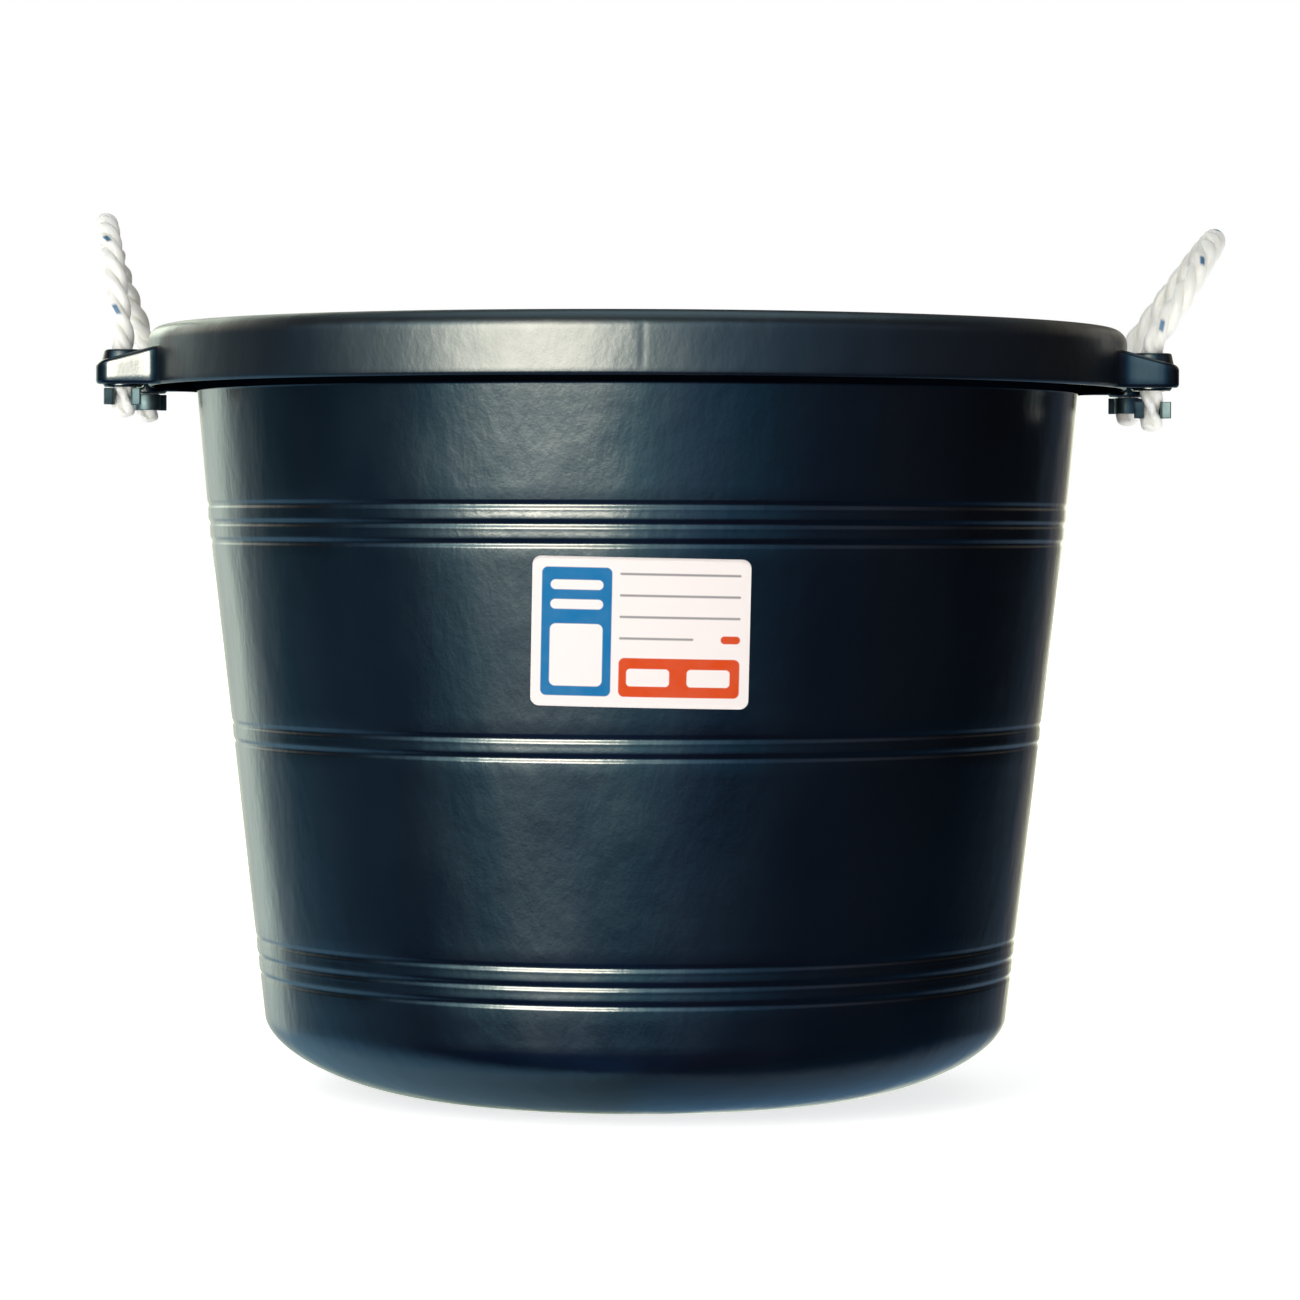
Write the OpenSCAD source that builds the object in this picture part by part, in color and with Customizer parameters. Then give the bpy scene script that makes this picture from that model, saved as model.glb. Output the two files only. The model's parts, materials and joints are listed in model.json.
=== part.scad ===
// Muck bucket: a moulded plastic tub with two rope handles.
// Millimetres, +Z up. The origin is the middle of the base, on the floor.
// The rope handles are on the left (-X) and the right (+X), and the label faces the front (-Y).

/* [Tub] */
// Height to the top of the rim
height = 424.5; // [400:0.5:450]
// Outer radius of the wall, if it ran straight down to the floor
foot_r = 202; // [180:1:225]
// How far the wall stands out from a straight taper at the upper band, where the taper eases
wall_bulge = 1.4; // [0:0.1:4]
// Thickness of the wall
wall_t = 4; // [3:0.25:5]
// Thickness of the base
base_t = 5; // [4:0.5:7]
// Width of the round between base and wall, measured along the floor
corner_w = 88; // [60:1:100]
// Height of the round between base and wall
corner_h = 42; // [30:1:50]

/* [Rim] */
// Outer radius of the rim
rim_r = 272; // [250:1:300]
// Reach of the rim beyond the wall, at the rim's lower edge
rim_reach = 27; // [20:0.5:32]
// Height of the rim's outer face, from its top to its lower edge
rim_h = 33.5; // [26:0.5:40]
// Thickness of the rim
rim_t = 4; // [3:0.25:5]
// Radius of the rim's outer top edge
rim_round = 9; // [6:0.5:12]
// Radius of the rim's inner top edge
lip_round = 6; // [4:0.5:8]

/* [Grooves] */
// Drop from the top of the rim to the middle of the upper band
upper_band_drop = 108.5; // [80:0.5:120]
// Drop from the middle of the upper band to the middle of the middle band
middle_band_drop = 115.5; // [108:0.5:140]
// Height of the middle of the lower band above the floor
lower_band_z = 76.5; // [68:0.5:95]
// Grooves in the upper and the lower band
outer_band_count = 3; // [1:1:4]
// Grooves in the middle band
middle_band_count = 2; // [1:1:4]
// Distance from one groove to the next
groove_pitch = 10; // [8:0.1:12]
// Flat strip of wall between one groove and the next
groove_land = 0.5; // [0.4:0.1:3]
// Depth of one groove
groove_depth = 1.8; // [0.6:0.1:2.2]

/* [Ears] */
// Reach of an ear beyond the rim
ear_reach = 22.5; // [20:0.5:34]
// Reach of an ear past the middle of its rope holes, along the rim
ear_side = 15; // [14:0.5:25]
// Drop from the top of the rim to the ear's top, beside the rim
ear_drop = 15.5; // [10:0.5:18]
// Fall of the ear's top from the rim to its outer end
ear_fall = 6; // [4:0.5:8]
// Thickness of an ear's top and sides
ear_t = 4; // [3:0.25:5]
// Radius of an ear's outer corners
ear_round = 10; // [6:0.5:12]
// Radius of the edges round an ear's top
ear_edge = 2.5; // [1:0.5:4]
// Radius of the fillet between an ear's side and the rim
ear_fillet = 11; // [4:0.5:12]

/* [Rope bosses] */
// Distance between the two rope holes of an ear
hole_gap = 130; // [100:1:150]
// Distance of the rope holes outside the rim's outer radius
hole_reach = 8; // [6:0.5:10]
// Thickness of a boss round its hole, and of its collar at the top
boss_t = 4.3; // [3:0.1:5]
// Rise of the collars above the ear's top beside the rim
collar_rise = 1; // [0.5:0.5:4]
// Height of a collar's tapered side
collar_h = 8; // [6.5:0.5:10]
// How much wider a collar is at its foot, all round
collar_flare = 1.5; // [0.5:0.1:2]
// How far a boss stands out below the ear
boss_below = 1.5; // [0.5:0.1:3]

/* [Rope] */
// Diameter of the rope
rope_d = 12.7; // [10:0.1:14]
// Clearance round the rope in its hole
rope_clear = 0.35; // [0.2:0.05:0.6]
// Straight part of each leg of the left loop, between its bend at the ear and its arch
left_leg_h = 2; // [1:0.5:30]
// Straight part of each leg of the right loop
right_leg_h = 6; // [1:0.5:30]
// Outward lean of the left loop from upright
left_lean = 14; // [-40:1:80]
// Outward lean of the right loop from upright
right_lean = 34; // [-40:1:80]
// Length of a rope tail below its clamp
tail_end = 7; // [7:0.5:30]
// How much lower the right front tail and its clamp hang than the other three
low_tail_drop = 5.5; // [0:0.5:8]

/* [Clamps] */
// Height of a clamp's band
clamp_h = 9; // [6:0.5:10]
// Thickness of the band's strip
clamp_t = 1.6; // [1:0.1:2.5]
// Rope showing between a boss and its clamp
clamp_gap = 0.5; // [0.5:0.5:4]
// Opening angle of the band
clamp_mouth = 100; // [60:5:140]
// Length of the two flared ends of the band
clamp_flare = 5; // [2:0.5:8]
// How far the band pinches the rope, all round
clamp_pinch = 0.9; // [0.4:0.1:1.5]
// Clearance between the band and the pinched rope
clamp_clear = 0.1; // [0.05:0.05:0.2]

/* [Label] */
// Width of the label, straight across
label_w = 112; // [80:1:130]
// Height of the label
label_h = 77; // [50:1:82]
// Drop from the middle of the upper band of grooves to the middle of the label
label_drop = 55.5; // [50:0.5:65]
// Distance of the middle of the label to the right of the front
label_x = 2; // [-60:1:60]
// Turn of the label from level, clockwise
label_turn = 1; // [-5:0.5:5]
// Radius of the label's corners
label_round = 4.5; // [1:0.5:8]
// Thickness of the label
label_t = 0.3; // [0.2:0.05:0.6]
// Thickness of the glue behind the label
glue_t = 0.2; // [0.1:0.05:0.4]

/* [Hidden] */
$fn = 96;

// Cuts run this far past the surface that they go through
overrun = 1;
// Clearance between a loop's rounded foot and the end of the rope tail under it
foot_clear = 0.3;
// Length over which the rope narrows into a clamp
pinch_run = 3;
// Power of the superellipse in the base corner: 2 is an ellipse, and less is softer
corner_power = 1.76;
// Steps of the base corner's curve
corner_steps = 14;
// Steps across one groove, an even number
groove_steps = 10;
// Steps of a rounded edge
edge_steps = 10;
// Steps of the rope where it narrows into a clamp
pinch_steps = 5;
// Share of the rim's thickness at which an ear's shell starts, inside the rim's face
ear_root_share = 0.25;
// Share of the radius of an ear's edge at which the round's middle lies in from each face
edge_inset_share = 0.97;
// Share of the rope's radius that is rounded off at the cut end of a tail
tail_round_share = 0.45;
// Turn of a clamp's flared ends, back from straight out
flare_turn = 15;
// Share of the strip's thickness by which a flared end starts inside the band
flare_root_share = 0.3;

tub_colour = [0.06, 0.1, 0.14];
rope_colour = [0.93, 0.92, 0.86];
clamp_colour = [0.42, 0.47, 0.48];
label_colour = [0.95, 0.93, 0.92];

left = -1;
right = 1;
front = -1;
rear = 1;

rim_z = height - rim_h;
neck_r = rim_r - rim_reach;
upper_band_z = height - upper_band_drop;
middle_band_z = upper_band_z - middle_band_drop;
bend_r = foot_r + (neck_r - foot_r) * upper_band_z / rim_z + wall_bulge;
groove_h = groove_pitch - groove_land;
ear_x = rim_r + ear_reach;
ear_w = hole_gap + 2 * ear_side;
ear_z = height - ear_drop;
ear_slope = atan(ear_fall / ear_reach);
hole_x = rim_r + hole_reach;
hole_y = hole_gap / 2;
rope_r = rope_d / 2;
hole_r = rope_r + rope_clear;
boss_r = hole_r + boss_t;
boss_z = rim_z - boss_below;
collar_z = ear_z + collar_rise;
pivot_z = collar_z + rope_r + foot_clear;
waist_r = rope_r - clamp_pinch;
clamp_r = waist_r + clamp_clear;
label_z = upper_band_z - label_drop;

// Height of the lower edge of the clamp at one end of the rope on one side
function clamp_z(side, end) =
    boss_z - clamp_gap - clamp_h - (side == right && end == front ? low_tail_drop : 0);

// Outer radius of the plain wall at height z: two tapers that meet at the upper band
function wall_r(z) =
    z < upper_band_z
        ? foot_r + (bend_r - foot_r) * z / upper_band_z
        : bend_r + (neck_r - bend_r) * (z - upper_band_z) / (rim_z - upper_band_z);

// Points of the round between the base and the wall, from the base up: a superellipse of
// width w and height h that starts at height z and ends on the wall, drawn in by inset
function corner(w, h, z, inset) =
    [for (i = [0 : corner_steps])
        let (a = 90 * i / corner_steps,
             out_share = pow(sin(a), 2 / corner_power),
             up_share = 1 - pow(cos(a), 2 / corner_power),
             at = z + h * up_share)
        [wall_r(at) - inset - w * (1 - out_share), at]];

// Points of one groove whose middle is at height z, from the bottom up: one wave of a cosine, which
// leaves the wall and meets it again without an edge
function groove(z) =
    [for (i = [0 : groove_steps])
        let (step_share = i / groove_steps,
             at = z + groove_h * (step_share - 1 / 2))
        [wall_r(at) - groove_depth * (1 - cos(360 * step_share)) / 2, at]];

// Points of a band of count grooves whose middle is at height z
function band(z, count) =
    [for (i = [0 : count - 1]) each groove(z + groove_pitch * (i - (count - 1) / 2))];

// Points on a circle of radius r round the point c, from angle a to angle b
function arc(c, r, a, b) =
    [for (i = [0 : edge_steps])
        let (turn = a + (b - a) * i / edge_steps)
        c + r * [cos(turn), sin(turn)]];

function reversed(list) = [for (i = [len(list) - 1 : -1 : 0]) list[i]];

// Section of the tub: out along the floor, up the outside of the wall, round the rim and its
// lower edge, and down the inside
module tub_section() {
    edge_r = rim_t / 2;
    rim_c = [rim_r - rim_round, height - rim_round];
    lip_c = [wall_r(height - lip_round) - wall_t + lip_round, height - lip_round];
    polygon(concat(
        [[0, 0]],
        corner(corner_w, corner_h, 0, 0),
        band(lower_band_z, outer_band_count),
        band(middle_band_z, middle_band_count),
        band(upper_band_z, outer_band_count),
        [[wall_r(height - rim_t), height - rim_t]],
        arc(rim_c, rim_round - rim_t, 90, 0),
        arc([rim_r - edge_r, rim_z + edge_r], edge_r, 180, 360),
        arc(rim_c, rim_round, 0, 90),
        arc(lip_c, lip_round, 90, 180),
        [[wall_r(upper_band_z) - wall_t, upper_band_z]],
        reversed(corner(corner_w - wall_t, corner_h - base_t, base_t, wall_t)),
        [[0, base_t]]));
}

// Plan of the right ear, drawn in by inset: a plate from the tub's axis with two round corners
module ear_plan(inset) {
    half = ear_w / 2 - inset;
    end = ear_x - inset;
    r = ear_round - inset;
    translate([0, -half])
        square([end - r, 2 * half]);
    translate([0, r - half])
        square([end, 2 * (half - r)]);
    for (s = [front, rear])
        translate([end - r, s * (half - r)])
            circle(r);
}

// Plan of the fillets between the right ear's sides and the rim
module ear_fillets() {
    half = ear_w / 2;
    y = half + ear_fillet;
    x = sqrt(pow(rim_r + ear_fillet, 2) - y * y);
    touch = [x, y] * rim_r / (rim_r + ear_fillet);
    for (s = [front, rear])
        mirror([0, s == front ? 1 : 0])
            difference() {
                polygon([[x, half - overrun], [x, half], touch, [touch.x - ear_fillet, half - overrun]]);
                translate([x, y])
                    circle(ear_fillet);
            }
}

// Height of the right ear's sloping top at distance x from the tub's axis
function ear_top(x) = ear_z - ear_fall * (x - rim_r) / ear_reach;

// A side view in children, carried across the whole width of the ears
module across_ear() {
    translate([0, ear_w, 0])
        rotate([90, 0, 0])
            linear_extrude(2 * ear_w)
                children();
}

// The plan in children, raised from height z to the right ear's sloping top less drop
module under_ear_top(z, drop) {
    end = ear_x + overrun;
    intersection() {
        translate([0, 0, z])
            linear_extrude(height - z)
                children();
        across_ear()
            polygon([[0, 0], [end, 0], [end, ear_top(end) - drop], [0, ear_top(0) - drop]]);
    }
}

// The right ear without its hollow: its plan, cut by a side view with the sloping top and a round
// at the outer end, and by an end view with two rounds that is carried along the slope
module ear_block() {
    inset = ear_edge * edge_inset_share;
    end = ear_x - inset;
    end_c = [end, ear_top(end) - ear_edge / cos(ear_slope)];
    half = ear_w / 2 - inset;
    side = ear_w / 2 + overrun;
    intersection() {
        translate([0, 0, rim_z])
            linear_extrude(rim_h)
                ear_plan(0);
        across_ear()
            polygon(concat([[0, ear_top(0)], [0, 0], [ear_x + overrun, 0], [ear_x + overrun, end_c.y]],
                           arc(end_c, ear_edge, 0, 90 - ear_slope)));
        translate([rim_r, 0, ear_z])
            rotate([0, ear_slope, 0])
                translate([-rim_r, 0, 0])
                    rotate([90, 0, 90])
                        linear_extrude(2 * rim_r)
                            polygon(concat([[-side, -inset], [-side, -height]],
                                           [[side, -height], [side, -inset]],
                                           arc([half, -inset], ear_edge, 0, 90),
                                           [[half, height], [-half, height]],
                                           arc([-half, -inset], ear_edge, 90, 180)));
    }
}

// The right ear: a shell that is open below, and the two bosses for the rope
module ear() {
    difference() {
        union() {
            ear_block();
            under_ear_top(rim_z, ear_edge)
                ear_fillets();
        }
        under_ear_top(rim_z - overrun, ear_t)
            ear_plan(ear_t);
        translate([0, 0, rim_z - overrun])
            cylinder(r = rim_r - rim_t * ear_root_share, h = rim_h + 2 * overrun);
    }
    for (s = [front, rear])
        translate([hole_x, s * hole_y, 0]) {
            translate([0, 0, boss_z])
                cylinder(r = boss_r, h = collar_z - boss_z);
            translate([0, 0, collar_z - collar_h])
                cylinder(r1 = boss_r + collar_flare, r2 = boss_r, h = collar_h);
        }
}

module tub() {
    color(tub_colour)
        difference() {
            union() {
                rotate_extrude()
                    tub_section();
                ear();
                mirror([1, 0, 0])
                    ear();
            }
            for (side = [left, right], s = [front, rear])
                translate([side * hole_x, s * hole_y, boss_z - overrun])
                    cylinder(r = hole_r, h = collar_z - boss_z + 2 * overrun);
        }
}

// A sheet that follows the wall, cut to a rectangle with round corners
module label() {
    reach = label_w / 2 * abs(sin(label_turn)) + label_h / 2 + overrun;
    low = label_z - reach;
    high = label_z + reach;
    inset_w = label_w - 2 * label_round;
    inset_h = label_h - 2 * label_round;
    front_r = max(wall_r(low), wall_r(high)) + glue_t + label_t;
    color(label_colour)
        intersection() {
            rotate_extrude()
                polygon([for (p = [[low, 0], [low, label_t], [high, label_t], [high, 0]])
                             [wall_r(p[0]) + glue_t + p[1], p[0]]]);
            translate([label_x, 0, label_z])
                rotate([90, -label_turn, 0])
                    linear_extrude(front_r + overrun) {
                        square([label_w, inset_h], center = true);
                        square([inset_w, label_h], center = true);
                        for (x = [-1, 1], y = [-1, 1])
                            translate([x * inset_w / 2, y * inset_h / 2])
                                circle(label_round);
                    }
        }
}

// The part of a rope above an ear: an arch on two short legs, each with a round foot that turns
// on the line through both feet
module rope_loop(side, lean, leg_h) {
    color(rope_colour)
        translate([side * hole_x, 0, pivot_z])
            rotate([0, side * lean, 0]) {
                translate([0, 0, leg_h])
                    rotate([90, 0, 90])
                        rotate_extrude(angle = 180)
                            translate([hole_y, 0])
                                circle(rope_r);
                for (s = [front, rear])
                    translate([0, s * hole_y, 0]) {
                        cylinder(r = rope_r, h = leg_h);
                        sphere(rope_r);
                    }
            }
}

// The end of a rope, through its boss and down to its cut end, with a waist in the clamp
module rope_tail(side, end) {
    cut_round = rope_r * tail_round_share;
    waist_z = clamp_z(side, end);
    tail_z = waist_z - tail_end;
    color(rope_colour)
        translate([side * hole_x, end * hole_y, 0])
            rotate_extrude()
                polygon(concat(
                    [[0, collar_z], [0, tail_z]],
                    arc([rope_r - cut_round, tail_z + cut_round], cut_round, -90, 0),
                    pinch(waist_z - pinch_run, rope_r, waist_r),
                    pinch(waist_z + clamp_h, waist_r, rope_r),
                    [[rope_r, collar_z]]));
}

// Points of the rope's side where its radius goes smoothly from r0 to r1, from height z up
function pinch(z, r0, r1) =
    [for (i = [0 : pinch_steps])
        let (step_share = i / pinch_steps)
        [r0 + (r1 - r0) * (1 - cos(180 * step_share)) / 2, z + pinch_run * step_share]];

// A steel strip bent round a rope tail, open on the side away from the middle of the ear, with
// its two ends flared
module rope_clamp(side, end) {
    outer_r = clamp_r + clamp_t;
    mouth_a = clamp_mouth / 2;
    mouth_end = (outer_r + overrun) * [1, tan(mouth_a)];
    color(clamp_colour)
        translate([side * hole_x, end * hole_y, clamp_z(side, end)])
            rotate(end * 90)
                linear_extrude(clamp_h) {
                    difference() {
                        circle(outer_r);
                        circle(clamp_r);
                        polygon([[0, 0], mouth_end, [mouth_end.x, -mouth_end.y]]);
                    }
                    for (m = [-1, 1])
                        rotate(m * mouth_a)
                            translate([clamp_r + clamp_t / 2, 0])
                                rotate(m * flare_turn)
                                    translate([-clamp_t * flare_root_share, -clamp_t / 2])
                                        square([clamp_flare + clamp_t, clamp_t]);
                }
}

tub();
label();
rope_loop(left, left_lean, left_leg_h);  // left_rope_loop
rope_loop(right, right_lean, right_leg_h);  // right_rope_loop
rope_tail(left, front);  // left_front_tail
rope_tail(left, rear);  // left_rear_tail
rope_tail(right, front);  // right_front_tail
rope_tail(right, rear);  // right_rear_tail
rope_clamp(left, front);  // left_front_clamp
rope_clamp(left, rear);  // left_rear_clamp
rope_clamp(right, front);  // right_front_clamp
rope_clamp(right, rear);  // right_rear_clamp
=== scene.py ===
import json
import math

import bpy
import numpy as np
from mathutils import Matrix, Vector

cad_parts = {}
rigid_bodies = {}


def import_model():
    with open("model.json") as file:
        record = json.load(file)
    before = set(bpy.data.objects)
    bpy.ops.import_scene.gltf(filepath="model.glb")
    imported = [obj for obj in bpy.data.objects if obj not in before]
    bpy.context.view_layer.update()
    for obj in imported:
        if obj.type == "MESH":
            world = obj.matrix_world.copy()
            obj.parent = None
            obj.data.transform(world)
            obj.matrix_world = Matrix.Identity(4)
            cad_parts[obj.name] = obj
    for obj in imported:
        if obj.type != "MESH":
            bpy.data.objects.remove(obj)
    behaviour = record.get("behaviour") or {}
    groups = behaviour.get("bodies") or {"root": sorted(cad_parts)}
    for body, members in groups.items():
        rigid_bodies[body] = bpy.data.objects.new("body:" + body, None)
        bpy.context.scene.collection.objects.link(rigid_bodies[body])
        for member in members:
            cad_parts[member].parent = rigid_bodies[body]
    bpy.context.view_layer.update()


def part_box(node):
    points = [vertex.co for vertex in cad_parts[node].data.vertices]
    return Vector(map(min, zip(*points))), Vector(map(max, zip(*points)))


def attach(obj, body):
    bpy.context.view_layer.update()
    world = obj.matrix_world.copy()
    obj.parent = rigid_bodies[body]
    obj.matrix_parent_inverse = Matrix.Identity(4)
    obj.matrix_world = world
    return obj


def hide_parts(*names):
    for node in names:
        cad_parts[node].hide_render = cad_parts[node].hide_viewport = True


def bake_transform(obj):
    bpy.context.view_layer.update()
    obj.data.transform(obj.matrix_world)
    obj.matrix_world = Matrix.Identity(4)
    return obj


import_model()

# %% [markdown]
# # A muck bucket with rope handles
# A muck bucket is a tapered tub of tough polyethylene. Its rim is rolled over into a deep skirt,
# and on each side an ear stands out from it with two holes for a short rope. The frame that has
# just been loaded holds plain solids for all of this, each in its real place. This script dresses
# them: it gives the tub its fine grooves and moulded sheen, the ropes their strands, and the label
# its print. Sizes are in metres, and what the frame knows is read from it, so that nothing here
# has to be fitted afterwards.

MM = 0.001

SIDES = {"left": -1, "right": 1}
ENDS = {"front": -1, "rear": 1}
TAILS = {(side, end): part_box(f"{side}_{end}_tail") for side in SIDES for end in ENDS}
CLAMPS = {(side, end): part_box(f"{side}_{end}_clamp") for side in SIDES for end in ENDS}
tub_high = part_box("tub")[1]
label_low, label_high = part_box("label")
tail_low, tail_high = TAILS["right", "front"]

HEIGHT = tub_high.z
RIM_R = tub_high.y
EAR_X = tub_high.x
ROPE_R = (tail_high.x - tail_low.x) / 2
HOLE_X = (tail_high.x + tail_low.x) / 2
HOLE_Y = -(tail_high.y + tail_low.y) / 2
COLLAR_Z = tail_high.z
TAIL_Z = {place: low.z for place, (low, high) in TAILS.items()}
CLAMP_Z = {place: (low.z + high.z) / 2 for place, (low, high) in CLAMPS.items()}
CLAMP_H = CLAMPS["right", "front"][1].z - CLAMPS["right", "front"][0].z
print(f"tub {HEIGHT:.3f} m high, rim {2 * RIM_R:.3f} m across, rope {2 * ROPE_R * 1000:.1f} mm thick")

# %% [markdown]
# ## The camera
# The camera comes first, because every later choice is judged through it. The lens, distance and
# height were worked out from the outline of the rim and the curves of the groove lines: a long
# lens, 2.7 m away and a little below the rim, so the inside stays out of sight. A focal length in
# pixels turns into millimetres when it is multiplied by the width of the sensor and divided by the
# width of the picture.

# %% Camera
PICTURE_W = 1300
FOCAL_PX = 4825
SENSOR_W = 36.0
CAMERA_DISTANCE = 2.697
CAMERA_Z = 0.3172
PITCH_DOWN = math.radians(1.52)
YAW_RIGHT = math.radians(0.158)
ROLL = 0.0037

camera = bpy.data.objects.new("camera", bpy.data.cameras.new("camera"))
bpy.context.scene.collection.objects.link(camera)
camera.data.sensor_width = SENSOR_W
camera.data.lens = FOCAL_PX * SENSOR_W / PICTURE_W
camera.matrix_world = (
    Matrix.Translation((0, -CAMERA_DISTANCE, CAMERA_Z))
    @ Matrix.Rotation(-YAW_RIGHT, 4, "Z")
    @ Matrix.Rotation(math.radians(90) - PITCH_DOWN, 4, "X")
    @ Matrix.Rotation(ROLL, 4, "Z")
)
bpy.context.scene.camera = camera
print(f"lens {camera.data.lens:.1f} mm")

# %% [markdown]
# ## Two helpers: a mesh from arrays, and a short way to write nodes
# Every new piece below is a surface that numpy works out as whole arrays of points. One helper
# numbers the four corners of each quad of a grid, and another puts points and faces into a mesh.
# It also measures the signed volume: a closed surface whose faces point outwards has a positive
# volume, so a negative one means that every face has to be turned round. The material helpers add
# a node and link it in one line, so that a material reads like a list of what it does.

# %% Mesh helpers
def grid_quads(rows, columns, wrap=False, first=0):
    """Corner numbers of the quads of a grid of points that is numbered row by row. With wrap, the
    last column is joined to the first."""
    row = np.arange(rows - 1)[:, None]
    column = np.arange(columns if wrap else columns - 1)[None, :]
    beside = (column + 1) % columns
    low, high = row * columns, (row + 1) * columns
    quads = np.stack([low + column, low + beside, high + beside, high + column], axis=-1)
    return first + quads.reshape(-1, 4)


def fan(ring, pole):
    """Triangles from each side of a ring of point numbers to one pole."""
    return np.stack([ring, np.roll(ring, -1), np.full(len(ring), pole)], axis=-1)


def signed_volume(points, faces):
    """Volume inside a closed surface: each face is split into triangles from its first corner, and
    a sixth of the triple product of each triangle's corners is summed."""
    total = 0.0
    for group in faces:
        corner = points[group]
        for i in range(1, group.shape[1] - 1):
            cross = np.cross(corner[:, i], corner[:, i + 1])
            total += np.einsum("ij,ij->", corner[:, 0], cross) / 6
    return total


def new_piece(name, points, faces, closed=True):
    """An object of these points and faces; faces is a list of arrays, with one face in each row."""
    points = np.asarray(points, float).reshape(-1, 3)
    if closed and signed_volume(points, faces) < 0:
        faces = [group[:, ::-1] for group in faces]
    corners = np.concatenate([group.ravel() for group in faces])
    sizes = np.concatenate([np.full(len(group), group.shape[1]) for group in faces])
    mesh = bpy.data.meshes.new(name)
    mesh.vertices.add(len(points))
    mesh.vertices.foreach_set("co", points.ravel())
    mesh.loops.add(len(corners))
    mesh.loops.foreach_set("vertex_index", corners.astype(np.int32))
    mesh.polygons.add(len(sizes))
    mesh.polygons.foreach_set("loop_start", (np.cumsum(sizes) - sizes).astype(np.int32))
    mesh.polygons.foreach_set("use_smooth", np.ones(len(sizes), bool))
    mesh.update(calc_edges=True)
    mesh.validate()
    piece = bpy.data.objects.new(name, mesh)
    bpy.context.scene.collection.objects.link(piece)
    return piece


def smoothstep(t):
    """0 below 0, 1 above 1, and 3 t squared less 2 t cubed between."""
    t = np.clip(t, 0, 1)
    return t * t * (3 - 2 * t)


# %% Material helpers
def new_material(name, sockets=None):
    """A node material with one shader, whose sockets get these values, and its output."""
    material = bpy.data.materials.new(name)
    material.use_nodes = True
    material.node_tree.nodes.clear()
    tree = material.node_tree
    shader = add(tree, "ShaderNodeBsdfPrincipled", sockets)
    add(tree, "ShaderNodeOutputMaterial", {"Surface": shader.outputs["BSDF"]})
    return material, tree, shader


def add(tree, kind, sockets=None, **settings):
    """Adds a node. A socket of another node is linked, and any other value is set."""
    node = tree.nodes.new(kind)
    for name, value in settings.items():
        setattr(node, name, value)
    for name, value in (sockets or {}).items():
        if isinstance(value, bpy.types.NodeSocket):
            tree.links.new(value, node.inputs[name])
        else:
            node.inputs[name].default_value = value
    return node


def noise(tree, vector, scale, detail=3.0, roughness=0.5):
    """A noise field with about scale features in a metre."""
    sockets = {"Vector": vector, "Scale": scale, "Detail": detail, "Roughness": roughness}
    return add(tree, "ShaderNodeTexNoise", sockets).outputs["Fac"]


def remap(tree, value, low, high, to_low, to_high):
    """A value carried from one range to another, and held at its ends."""
    sockets = {"Value": value, "From Min": low, "From Max": high, "To Min": to_low, "To Max": to_high}
    return add(tree, "ShaderNodeMapRange", sockets).outputs["Result"]


def scalar_math(tree, operation, *values):
    """One sum with numbers."""
    return add(tree, "ShaderNodeMath", dict(enumerate(values)), operation=operation).outputs[0]


def vector_math(tree, operation, *values):
    """One sum with vectors: a length comes out as a number, and anything else as a vector."""
    node = add(tree, "ShaderNodeVectorMath", dict(enumerate(values)), operation=operation)
    return node.outputs["Value" if operation == "LENGTH" else "Vector"]


def mix_colours(tree, share, first, second):
    """A colour between two others."""
    node = add(tree, "ShaderNodeMix", data_type="RGBA")
    for socket, value in ((node.inputs[0], share), (node.inputs[6], first), (node.inputs[7], second)):
        if isinstance(value, bpy.types.NodeSocket):
            tree.links.new(value, socket)
        else:
            socket.default_value = value
    return node.outputs[2]


print("helpers ready")

# %% [markdown]
# ## The ropes' line
# Each handle is one length of rope: up through the front hole of its ear, over in an arch, and
# down through the rear hole, with a tail below each. The arch is half a circle on two short legs.
# The left one stands almost upright, with its rear leg a little further out than its front leg, and
# the right one leans out. A rope can't turn a sharp corner, so the lean grows smoothly over the
# first stretch above the ear: the line is drawn upright, and then each point is carried outwards
# and upwards by the mean sine and the mean cosine of the lean below it.

# %% Rope line
LEG_TOPS = {"left": 8.65 * MM, "right": 12.65 * MM}
BEND_RUN = 9 * MM
LEANS = {"left": math.radians(14), "right": math.radians(34)}
TWISTS = {"left": math.radians(6), "right": math.radians(1)}
LINE_STEP = 1.0 * MM
LEAN_SAMPLES = 200


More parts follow.
